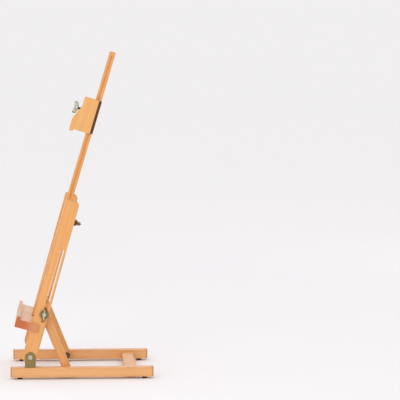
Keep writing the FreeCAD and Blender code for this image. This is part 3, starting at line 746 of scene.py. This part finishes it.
class Screws:
    """Countersunk, cross-headed wood screws, made by one geometry tree."""

    CROSS_SPAN = 0.58
    CROSS_WIDTH = 0.13
    SHANK_START = -0.96
    FIRST_TURN = 0.4
    NEXT_TURN = 1.1

    def __init__(self) -> None:
        """Build the tree: a head with its cross cut out, a threaded shank, one at each seat."""
        sizes = {"Shank": 0.0035, "Head": 0.0068, "Cone": 0.0017, "Length": 0.014, "Pitch": 0.0012}
        tree = NodeTree("countersunk_screws", sizes)
        given = tree.given.outputs
        head_radius = tree.sum("MULTIPLY", given["Head"], 0.5)
        shank_radius = tree.sum("MULTIPLY", given["Shank"], 0.5)
        cone = tree.node(
            "GeometryNodeMeshCone",
            None,
            {
                "Vertices": 40,
                "Radius Top": head_radius,
                "Radius Bottom": shank_radius,
                "Depth": given["Cone"],
            },
        )
        cone_down = tree.moved(cone.outputs["Mesh"], z=tree.sum("MULTIPLY", given["Cone"], -1.0))
        arms = []
        for wide, deep in ((self.CROSS_SPAN, self.CROSS_WIDTH), (self.CROSS_WIDTH, self.CROSS_SPAN)):
            size = tree.node(
                "ShaderNodeCombineXYZ",
                None,
                {
                    0: tree.sum("MULTIPLY", given["Head"], wide),
                    1: tree.sum("MULTIPLY", given["Head"], deep),
                    2: given["Cone"],
                },
            )
            arms.append(tree.node("GeometryNodeMeshCube", None, {"Size": size.outputs[0]}).outputs["Mesh"])
        cut = tree.node(
            "GeometryNodeMeshBoolean",
            {"operation": "DIFFERENCE", "solver": "EXACT"},
            {"Mesh 1": cone_down, "Mesh 2": arms},
        )
        shank_length = tree.sum("SUBTRACT", given["Length"], given["Cone"])
        shank = thread(tree, shank_radius, shank_length, given["Pitch"])
        shank_down = tree.moved(shank, z=tree.sum("MULTIPLY", given["Cone"], self.SHANK_START))
        whole = tree.node("GeometryNodeJoinGeometry", None, {0: [cut.outputs["Mesh"], shank_down]})
        vector = {"data_type": "FLOAT_VECTOR"}
        turn = tree.node("GeometryNodeInputNamedAttribute", vector, {"Name": "turn"})
        rotation = tree.node("FunctionNodeEulerToRotation", None, {0: turn.outputs["Attribute"]})
        spread = tree.node(
            "GeometryNodeInstanceOnPoints",
            None,
            {"Points": given["Geometry"], "Instance": whole.outputs[0], "Rotation": rotation.outputs[0]},
        )
        self.tree = tree.finish(spread.outputs[0])

    def drive(
        self,
        node: str,
        body: Body,
        size: ScrewSize,
        seats: list[ScrewSeat],
        material: bpy.types.Material,
    ) -> None:
        """Put one node's screws in.

        Args:
            node: The CAD node that they stand for.
            body: The body that they ride on.
            size: The screws' size.
            seats: Where each one goes.
            material: Their finish.
        """
        mesh = bpy.data.meshes.new(node + "_seats")
        mesh.from_pydata([seat.head for seat in seats], [], [])
        turns = mesh.attributes.new("turn", "FLOAT_VECTOR", "POINT")
        for i, seat in enumerate(seats):
            spin = Matrix.Rotation(self.FIRST_TURN + self.NEXT_TURN * i, 3, "Z")
            outward = seat.facing.to_track_quat("Z", "X").to_matrix() @ spin
            turns.data[i].vector = outward.to_euler("XYZ")
        values = {
            "Shank": size.shank * MM,
            "Head": size.head * MM,
            "Cone": size.cone() * MM,
            "Length": size.length * MM,
            "Pitch": size.pitch * MM,
            "Material": material,
        }
        piece = grown(node + "_detailed", mesh, self.tree, values)
        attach(piece, body.value)
        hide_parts(node)
        LOG.info("%s: %d screws", piece.name, len(seats))


def grown(
    name: str, mesh: bpy.types.Mesh, tree: bpy.types.NodeTree, values: dict[str, Any]
) -> bpy.types.Object:
    """Run a geometry tree on a mesh and keep its result as a plain mesh.

    Args:
        name: The new piece's name.
        mesh: The mesh that the tree starts from.
        tree: The geometry tree.
        values: Its inputs by name.

    Returns:
        The piece, with no modifier left on it.
    """
    maker = bpy.data.objects.new(name + "_maker", mesh)
    bpy.context.scene.collection.objects.link(maker)
    modifier = maker.modifiers.new("grow", "NODES")
    modifier.node_group = tree
    for item in tree.interface.items_tree:
        if item.in_out == "INPUT" and item.name in values:
            modifier[item.identifier] = values[item.name]
    bpy.context.view_layer.update()
    evaluated = maker.evaluated_get(bpy.context.evaluated_depsgraph_get())
    result = bpy.data.meshes.new_from_object(evaluated)
    bpy.data.objects.remove(maker)
    piece = bpy.data.objects.new(name, result)
    bpy.context.scene.collection.objects.link(piece)
    return piece


# ---------------------------------------------------------------- wing heads
@dataclass
class WingHead:
    """A cast hub with two ears, standing on the XY plane with its ears along Y, in millimetres."""

    span: float = 30.6
    rise: float = 12.6
    hub_foot: float = 12.4
    hub_head: float = 9.4
    hub_height: float = 10.6
    thickness: float = 3.0
    shank: float = 0.0
    shank_length: float = 0.0
    shank_overlap: float = 1.0
    voxel: float = 0.34
    smoothing: float = 0.5
    smoothing_rounds: int = 5

    def outline(self) -> list[Point]:
        """Draw one ear.

        Returns:
            Its outline, as places out from and up the hub and a share of the thickness at each.
        """
        half, rise = self.span / 2, self.rise
        return [
            (0.0, 0.8, 1.10),
            (0.30 * half, 0.5, 1.15),
            (0.60 * half, 0.07 * rise, 1.05),
            (0.86 * half, 0.20 * rise, 0.95),
            (0.98 * half, 0.44 * rise, 0.85),
            (1.00 * half, 0.78 * rise, 0.80),
            (0.90 * half, 0.97 * rise, 0.80),
            (0.70 * half, 1.00 * rise, 0.90),
            (0.50 * half, 0.93 * rise, 1.00),
            (0.30 * half, 0.84 * rise, 1.10),
            (0.0, 0.78 * rise, 1.10),
        ]

    def ear(self, build: bmesh.types.BMesh, side: int) -> None:
        """Add one ear as a pillow-edged plate.

        Args:
            build: The mesh to add it to.
            side: 1 for the ear along +Y, -1 for the other.
        """
        rim = [Vector((0, out * side, up)) for out, up, _ in self.outline()]
        centre = sum(rim, Vector()) / len(rim)
        layers = []
        for level, shrink in ((-1.0, 0.90), (-0.55, 1.0), (0.55, 1.0), (1.0, 0.90)):
            ring = []
            for point, (_, _, thick) in zip(rim, self.outline()):
                place = centre + (point - centre) * shrink
                ring.append(build.verts.new((level * self.thickness / 2 * thick, place.y, place.z)))
            layers.append(ring)
        for low, high in zip(layers, layers[1:]):
            for i in range(len(low)):
                j = (i + 1) % len(low)
                build.faces.new((low[i], low[j], high[j], high[i]))
        build.faces.new(layers[0][::-1])
        build.faces.new(layers[-1])

    def lathe(
        self, build: bmesh.types.BMesh, profile: list[tuple[float, float]], count: int = 40
    ) -> None:
        """Add a turned shape, closed at both ends.

        Args:
            build: The mesh to add it to.
            profile: Its radii and heights, from the foot up.
            count: How many sides it has.
        """
        rings = []
        for radius, height in profile:
            ring = []
            for i in range(count):
                angle = 2 * math.pi * i / count
                ring.append(build.verts.new((radius * math.cos(angle), radius * math.sin(angle), height)))
            rings.append(ring)
        for low, high in zip(rings, rings[1:]):
            for i in range(count):
                j = (i + 1) % count
                build.faces.new((low[i], low[j], high[j], high[i]))
        build.faces.new(rings[0][::-1])
        build.faces.new(rings[-1])

    def build(self, name: str, place: Matrix, material: bpy.types.Material) -> bpy.types.Object:
        """Cast the head in one piece and put it in place.

        Args:
            name: The piece's name.
            place: Its place, in metres.
            material: Its finish.

        Returns:
            The piece.
        """
        build = bmesh.new()
        foot, head, tall = self.hub_foot / 2, self.hub_head / 2, self.hub_height
        hub = [
            (foot * 0.92, 0.0),
            (foot, 0.35),
            (foot, 1.5),
            (foot * 0.88, 2.4),
            (head, tall * 0.7),
            (head, tall * 0.93),
            (head * 0.88, tall),
        ]
        self.lathe(build, hub)
        if self.shank:
            radius = self.shank / 2
            self.lathe(build, [(radius, -self.shank_length), (radius, self.shank_overlap)], 24)
        for side in (1, -1):
            self.ear(build, side)
        bmesh.ops.recalc_face_normals(build, faces=build.faces)
        rough_mesh = bpy.data.meshes.new(name + "_rough")
        build.to_mesh(rough_mesh)
        build.free()
        maker = bpy.data.objects.new(name + "_maker", rough_mesh)
        bpy.context.scene.collection.objects.link(maker)
        fused = maker.modifiers.new("fuse", "REMESH")
        fused.mode = "VOXEL"
        fused.voxel_size = self.voxel
        softened = maker.modifiers.new("soften", "SMOOTH")
        softened.factor = self.smoothing
        softened.iterations = self.smoothing_rounds
        bpy.context.view_layer.update()
        evaluated = maker.evaluated_get(bpy.context.evaluated_depsgraph_get())
        mesh = bpy.data.meshes.new_from_object(evaluated)
        bpy.data.objects.remove(maker)
        self.mark_wear_and_shade(mesh)
        mesh.transform(Matrix.Scale(MM, 4))
        mesh.transform(place)
        mesh.polygons.foreach_set("use_smooth", [True] * len(mesh.polygons))
        mesh.materials.clear()
        mesh.materials.append(material)
        piece = bpy.data.objects.new(name, mesh)
        bpy.context.scene.collection.objects.link(piece)
        return piece

    def mark_wear_and_shade(self, mesh: bpy.types.Mesh) -> None:
        """Mark how bright each point is: bright on the flats, where handling wears it, with painted shade low
        down at the ears' roots, and darker towards the tips.

        Args:
            mesh: The head's mesh, still in millimetres and upright.
        """
        root_height, tip_start = 3.5, 0.62
        rubbed = mesh.attributes.new(WEAR_AND_SHADE_BY, "FLOAT", "POINT")
        for i, vertex in enumerate(mesh.vertices):
            _, y, z = vertex.co
            out = abs(y) / (self.span / 2)
            # Painted shade low down, where the ears meet the hub, and darker towards the ear tips.
            low = max(0.0, 1.0 - z / root_height)
            tip = max(0.0, (out - tip_start) / 0.38)
            rubbed.data[i].value = max(0.0, min(1.0, 0.95 - 0.8 * low - 0.75 * tip))


# ---------------------------------------------------------------- the easel's sub-assemblies
@dataclass
class Base:
    """The rails, their crossbar, feet, pivot brackets and strut pivots."""

    rail: Point = (24.0, 25.0, 350.0)
    crossbar: Point = (29.0, 14.0, 250.0)
    foot_place: tuple[float, float] = (137.5, 152.5)
    bracket_place: Point = (136.0, -126.8, 30.6)
    bracket_screw_spacing: float = 15.0
    foot_screw_height: float = 2.4
    foot_screw: ScrewSize = field(default_factory=lambda: ScrewSize(3.5, 6.8, 15.0))
    bracket_screw: ScrewSize = field(default_factory=lambda: ScrewSize(3.5, 6.8, 14.0))

    def dress(self, finish: Finish) -> None:
        """Give the base's own pieces their finishes.

        Args:
            finish: The shared finishes.
        """
        beech = Beech()
        # Painted shade: the rails' ends darken 5.8 mm in, end grain together with the shade on their rounded
        # ends.
        railing = Beech(
            pale=(0.92, 0.50, 0.195), warm=(0.82, 0.38, 0.120), end_reach=0.0058, end_strength=0.75
        )
        for i, side in enumerate(("left", "right")):
            node = "rail_" + side
            size = tuple(s * MM for s in self.rail)
            board = Board(middle(node), size, Grain.DEPTH, 0.0, 1.7 + 3.3 * i)
            wear(node, railing.material("beech_" + node, board))
            wear("pivot_bracket_" + side, finish.antique)
        size = tuple(s * MM for s in self.crossbar)
        board = Board(middle("rear_crossbar"), size, Grain.ACROSS, 0.0, 9.2)
        wear("rear_crossbar", beech.material("beech_rear_crossbar", board))
        dowel = Board(middle("crossbar_dowels"), (0.1, 0.1, 0.3), Grain.ACROSS, 0.0, 2.0)
        wear("crossbar_dowels", beech.material("beech_crossbar_dowels", dowel))
        wear("feet", finish.rubber)
        wear("pivot_rivets", finish.nickel)
        wear("strut_pivot_screws", finish.bronze)
        wear("strut_pivot_washers", finish.bronze)

    def fasten(self, screws: Screws, finish: Finish) -> None:
        """Drive the base's screws.

        Args:
            screws: The screws' maker.
            finish: The shared finishes.
        """
        x, y = self.foot_place
        down, up = Vector((0, 0, -1)), Vector((0, 0, 1))
        corners = [(sx * x, sy * y, self.foot_screw_height) for sx in (-1, 1) for sy in (-1, 1)]
        under = [ScrewSeat(Vector(corner) * MM, down) for corner in corners]
        screws.drive("foot_screws", Body.BASE, self.foot_screw, under, finish.steel)
        bx, by, bz = self.bracket_place
        half = self.bracket_screw_spacing / 2
        places = [(sx * bx, by + dy, bz) for sx in (-1, 1) for dy in (-half, half)]
        on_top = [ScrewSeat(Vector(place) * MM, up) for place in places]
        screws.drive("bracket_screws", Body.BASE, self.bracket_screw, on_top, finish.antique)


@dataclass
class LeaningFrame:
    """The slotted uprights, the top crossbar, the canvas tray and the mast's guides."""

    upright: Point = (17.0, 34.0, 415.0)
    upright_x: float = 136.0
    crossbar: Point = (17.0, 60.0, 255.0)
    tray: Point = (58.0, 27.5, 300.0)
    guide: Point = (15.0, 14.0, 60.0)
    upright_middle: tuple[float, float] = (2.0, 190.5)
    tray_middle: tuple[float, float] = (29.0, 77.25)
    tray_screw_place: tuple[float, float] = (-15.0, 73.5)
    guide_screw_place: Point = (26.8, 21.0, 337.0)
    guide_screw_spacing: float = 36.0
    tray_screw: ScrewSize = field(default_factory=lambda: ScrewSize(4.5, 8.8, 50.0, 1.8))
    guide_screw: ScrewSize = field(default_factory=lambda: ScrewSize(3.5, 6.8, 22.0))

    def dress(self, finish: Finish) -> None:
        """Give the frame's own pieces their finishes.

        Args:
            finish: The shared finishes.
        """
        beech = Beech()
        for i, side in enumerate(("left", "right")):
            sign = 2 * i - 1
            node = "upright_" + side
            centre = tuple(UPRIGHT.at(sign * self.upright_x, *self.upright_middle))
            size = tuple(s * MM for s in self.upright)
            board = Board(centre, size, Grain.UP, UPRIGHT.lean, 5.4 + 2.9 * i)
            wear(node, beech.material("beech_" + node, board))
            node = "mast_guide_" + side
            size = tuple(s * MM for s in self.guide)
            board = Board(middle(node), size, Grain.UP, MAST.lean, 12.1 + i)
            wear(node, beech.material("beech_" + node, board))
        size = tuple(s * MM for s in self.crossbar)
        board = Board(middle("top_crossbar"), size, Grain.ACROSS, UPRIGHT.lean, 7.7)
        wear("top_crossbar", beech.material("beech_top_crossbar", board))
        # Painted shade: the tray's end colour fades from its front to its back.
        ledge = Beech(
            pale=(0.78, 0.45, 0.23),
            warm=(0.70, 0.35, 0.15),
            end=(0.50, 0.085, 0.008),
            end_strength=1.0,
            end_fade=0.62,
        )
        centre = tuple(UPRIGHT.at(0.0, *self.tray_middle))
        board = Board(centre, tuple(s * MM for s in self.tray), Grain.ACROSS, UPRIGHT.lean, 3.6)
        wear("tray", ledge.material("beech_tray", board))
        dowel = Board(middle("frame_dowels"), (0.1, 0.1, 0.3), Grain.ACROSS, 0.0, 6.0)
        wear("frame_dowels", beech.material("beech_frame_dowels", dowel))
        wear("crossbar_insert", finish.brass)
        wear("mast_pressure_pad", finish.leather)
        wear("mast_bolt_washer", finish.bronze)

    def fasten(self, screws: Screws, finish: Finish) -> None:
        """Drive the frame's screws.

        Args:
            screws: The screws' maker.
            finish: The shared finishes.
        """
        back, front = UPRIGHT.along(0, -1, 0), MAST.along(0, 1, 0)
        ledge_places = [UPRIGHT.at(sx * self.upright_x, *self.tray_screw_place) for sx in (-1, 1)]
        ledge = [ScrewSeat(place, back) for place in ledge_places]
        screws.drive("tray_screws", Body.FRAME, self.tray_screw, ledge, finish.steel)
        x, forward, up = self.guide_screw_place
        half = self.guide_screw_spacing / 2
        places = [MAST.at(sx * x, forward, up + ds) for sx in (-1, 1) for ds in (-half, half)]
        cleats = [ScrewSeat(place, front) for place in places]
        screws.drive("guide_screws", Body.FRAME, self.guide_screw, cleats, finish.steel)


@dataclass
class SlidingMast:
    """The grooved mast."""

    size: Point = (38.0, 15.0, 691.0)
    middle_forward: float = 15.0
    middle_up: float = 430.0

    def dress(self) -> None:
        """Give the mast its wood."""
        centre = tuple(MAST.at(0.0, self.middle_forward, self.middle_up))
        board = Board(centre, tuple(s * MM for s in self.size), Grain.UP, MAST.lean, 8.8)
        wear("mast", Beech().material("beech_mast", board))


@dataclass
class CanvasClamp:
    """The forked block, its strap, pad and insert."""

    size: Point = (56.0, 56.0, 92.0)
    mast_face: float = 22.5
    upper_depth: float = 27.5
    nose_depth: float = 43.0
    slope_top: float = 624.5
    slope_height: float = 36.0
    strap_screw_x: float = 23.75
    strap_screw_forward: float = 11.9
    strap_screws_up: tuple[float, float] = (574.5, 637.5)
    strap_screw: ScrewSize = field(default_factory=lambda: ScrewSize(3.0, 5.6, 8.0, 1.0))

    def front(self, up: float) -> float:
        """How far forward the block's sloping face is, at a height up the mast."""
        share = min(max((self.slope_top - up) / self.slope_height, 0.0), 1.0)
        return self.mast_face + self.upper_depth + (self.nose_depth - self.upper_depth) * share

    def dress(self, finish: Finish) -> None:
        """Give the clamp's pieces their finishes.

        Args:
            finish: The shared finishes.
        """
        light = Beech(pale=(0.92, 0.50, 0.160), warm=(0.82, 0.39, 0.105), end_strength=0.35)
        size = tuple(s * MM for s in self.size)
        board = Board(middle("clamp_block"), size, Grain.UP, MAST.lean, 4.4)
        wear("clamp_block", light.material("beech_clamp_block", board))
        # Painted shade: the strap's dark brown stands in for the shadow behind the block's cheek.
        wear("clamp_strap", finish.strap)
        wear("clamp_insert", finish.brass)
        wear("clamp_pressure_pad", finish.leather)

    def fasten(self, screws: Screws, finish: Finish) -> None:
        """Drive the strap's screws.

        Args:
            screws: The screws' maker.
            finish: The shared finishes.
        """
        back = MAST.along(0, -1, 0)
        x, forward = self.strap_screw_x, self.strap_screw_forward
        places = [MAST.at(sx * x, forward, up) for sx in (-1, 1) for up in self.strap_screws_up]
        seats = [ScrewSeat(place, back) for place in places]
        screws.drive("strap_screws", Body.CLAMP, self.strap_screw, seats, finish.bronze)


@dataclass
class Struts:
    """The two struts with their coach bolts, spacers and washers."""

    size: Point = (12.0, 21.0, 181.0)
    middle_x: float = 117.8
    middle_up: float = 79.7

    def dress(self, finish: Finish) -> None:
        """Give the struts' pieces their finishes.

        Args:
            finish: The shared finishes.
        """
        beech = Beech(pale=(0.86, 0.435, 0.135), warm=(0.72, 0.305, 0.075))
        for i, side in enumerate(("left", "right")):
            sign = 2 * i - 1
            centre = tuple(STRUT.at(sign * self.middle_x, 0.0, self.middle_up))
            size = tuple(s * MM for s in self.size)
            board = Board(centre, size, Grain.UP, STRUT.lean, 10.3 + 2.0 * i)
            wear("strut_" + side, beech.material("beech_strut_" + side, board))
            wear("slot_bolt_" + side, finish.antique)
            wear("slot_spacer_" + side, finish.spacer)
            wear("slot_washer_" + side, finish.antique)


@dataclass
class WingHardware:
    """The two wing bolts and the two wing nuts."""

    bolt: float = 6.0
    bolt_slack: float = 0.2
    clamp_shank: float = 24.0
    mast_shank: float = 14.0
    clamp_stand_off: float = 5.0
    nut_face: float = 146.7
    nut_lean: float = 7.0
    bolt_up: float = 616.5
    mast_bolt_up: float = 337.0
    mast_bolt_foot: float = 18.51

    def facing(self, centre: Vector, out: Vector, ears: Vector) -> Matrix:
        """A place whose Z axis faces out and whose Y axis runs along the ears."""
        across = ears.cross(out)
        return Matrix.Translation(centre) @ Matrix((across, ears, out)).transposed().to_4x4()

    def build(self, finish: Finish) -> None:
        """Cast every wing head, in place of its CAD node.

        Args:
            finish: The shared finishes.
        """
        forward, up, across = MAST.along(0, 1, 0), MAST.along(0, 0, 1), Vector((1, 0, 0))
        shank = self.bolt - self.bolt_slack
        clamp = WingHead(shank=shank, shank_length=self.clamp_shank)
        reach = CanvasClamp().front(self.bolt_up) + self.clamp_stand_off
        place = self.facing(MAST.at(0.0, reach, self.bolt_up), forward, up)
        bolt = clamp.build("clamp_wing_bolt_cast", place, finish.wing_grey)
        self.stand(bolt, "clamp_wing_bolt", Body.CLAMP_SCREW)
        place = self.facing(MAST.at(0.0, -self.mast_bolt_foot, self.mast_bolt_up), -forward, across)
        mast = WingHead(shank=shank, shank_length=self.mast_shank)
        bolt = mast.build("mast_wing_bolt_cast", place, finish.wing_brown)
        self.stand(bolt, "mast_wing_bolt", Body.MAST_SCREW)
        lean = math.radians(self.nut_lean)
        ears = Vector((0, math.sin(lean), math.cos(lean)))
        for sign, side, body in ((-1, "left", Body.WING_NUT_LEFT), (1, "right", Body.WING_NUT_RIGHT)):
            low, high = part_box("slot_washer_" + side)
            centre = (Vector(low) + Vector(high)) / 2
            centre.x = sign * self.nut_face * MM
            place = self.facing(centre, Vector((sign, 0, 0)), ears)
            nut = WingHead().build("wing_nut_cast_" + side, place, finish.wing_grey)
            self.stand(nut, "wing_nut_" + side, body)

    def stand(self, piece: bpy.types.Object, node: str, body: Body) -> None:
        """Let a cast head stand for its CAD node.

        Args:
            piece: The head.
            node: The CAD node that it replaces.
            body: The body that it rides on.
        """
        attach(piece, body.value)
        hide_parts(node)
        LOG.info("%s: %d faces", piece.name, len(piece.data.polygons))


# ---------------------------------------------------------------- studio
@dataclass
class Studio:
    """A pale seamless floor, soft lights and the camera."""

    floor_radius: float = 60.0
    air: Colour = (0.880, 0.865, 0.875)
    camera_place: Point = (4.2232, -0.0698, 0.7152)
    camera_yaw: float = 5.003
    camera_pitch: float = 3.847
    camera_roll: float = 0.339
    lens: float = 150.69

    def floor(self) -> None:
        """Lay a broad, pale floor."""
        build = bmesh.new()
        bmesh.ops.create_circle(build, cap_ends=True, segments=96, radius=self.floor_radius)
        mesh = bpy.data.meshes.new("studio_floor")
        build.to_mesh(mesh)
        build.free()
        g = Graph("studio_paper")
        tone = g.noise(g.place(), (1.5, 1.5, 1.5), 2.0)
        colour = g.mix((0.925, 0.915, 0.925), (0.91, 0.90, 0.91), tone)
        x, y, _ = g.axes(g.place())
        away = (x ** 2.0 + y ** 2.0).root()
        colour = g.mix(colour, (1.0, 1.0, 1.0), away.step(0.9, 5.5))
        mesh.materials.append(g.surface({"Base Color": colour}, {"Roughness": 0.9}))
        floor = bpy.data.objects.new("studio_floor", mesh)
        bpy.context.scene.collection.objects.link(floor)

    def lamp(
        self, name: str, place: Point, size: float, power: float, aim: Point = (0.0, 0.0, 0.3)
    ) -> None:
        """Hang one soft square lamp.

        Args:
            name: The lamp's name.
            place: Where it hangs.
            size: Its side.
            power: Its power in watts.
            aim: The point that it faces.
        """
        data = bpy.data.lights.new(name, "AREA")
        data.size = size
        data.energy = power
        lamp = bpy.data.objects.new(name, data)
        lamp.location = place
        lamp.rotation_euler = (Vector(aim) - Vector(place)).to_track_quat("-Z", "Y").to_euler()
        bpy.context.scene.collection.objects.link(lamp)

    def light(self) -> None:
        """Light the studio softly from above and from the camera's side."""
        world = bpy.data.worlds.new("studio_air")
        world.use_nodes = True
        world.node_tree.nodes["Background"].inputs[0].default_value = (*self.air, 1.0)
        world.node_tree.nodes["Background"].inputs[1].default_value = 1.0
        bpy.context.scene.world = world
        self.lamp("overhead", place=(0.3, -0.6, 3.2), size=2.4, power=13.0)
        self.lamp("front_fill", place=(3.2, -1.6, 1.6), size=1.8, power=26.0)
        self.lamp("back_fill", place=(-2.6, 2.4, 2.0), size=2.0, power=4.0)
        bpy.context.scene.view_settings.view_transform = "Standard"

    def camera(self) -> None:
        """Set the camera up square to the easel's side, a little above it."""
        angles = (self.camera_yaw, self.camera_pitch, self.camera_roll)
        yaw, pitch, roll = (math.radians(angle) for angle in angles)
        level = math.cos(pitch)
        ahead = Vector((-math.cos(yaw) * level, math.sin(yaw) * level, -math.sin(pitch)))
        right = Vector((math.sin(yaw), math.cos(yaw), 0.0))
        upward = right.cross(ahead)
        rolled_right = right * math.cos(roll) + upward * math.sin(roll)
        rolled_up = upward * math.cos(roll) - right * math.sin(roll)
        data = bpy.data.cameras.new("camera")
        data.lens = self.lens
        data.sensor_width = 36.0
        data.clip_end = 60.0
        camera = bpy.data.objects.new("camera", data)
        turn = Matrix((rolled_right, rolled_up, -ahead)).transposed().to_4x4()
        camera.matrix_world = Matrix.Translation(self.camera_place) @ turn
        bpy.context.scene.collection.objects.link(camera)
        bpy.context.scene.camera = camera


def main() -> None:
    """Build the easel's looks, piece by piece, and the studio round it."""
    logging.basicConfig(level=logging.INFO, format="%(message)s")
    studio = Studio()
    studio.camera()
    finish = Finish()
    screws = Screws()
    base, leaning, clamp = Base(), LeaningFrame(), CanvasClamp()
    base.dress(finish)
    base.fasten(screws, finish)
    leaning.dress(finish)
    leaning.fasten(screws, finish)
    SlidingMast().dress()
    clamp.dress(finish)
    clamp.fasten(screws, finish)
    Struts().dress(finish)
    WingHardware().build(finish)
    studio.floor()
    studio.light()


if __name__ == "__main__":
    main()
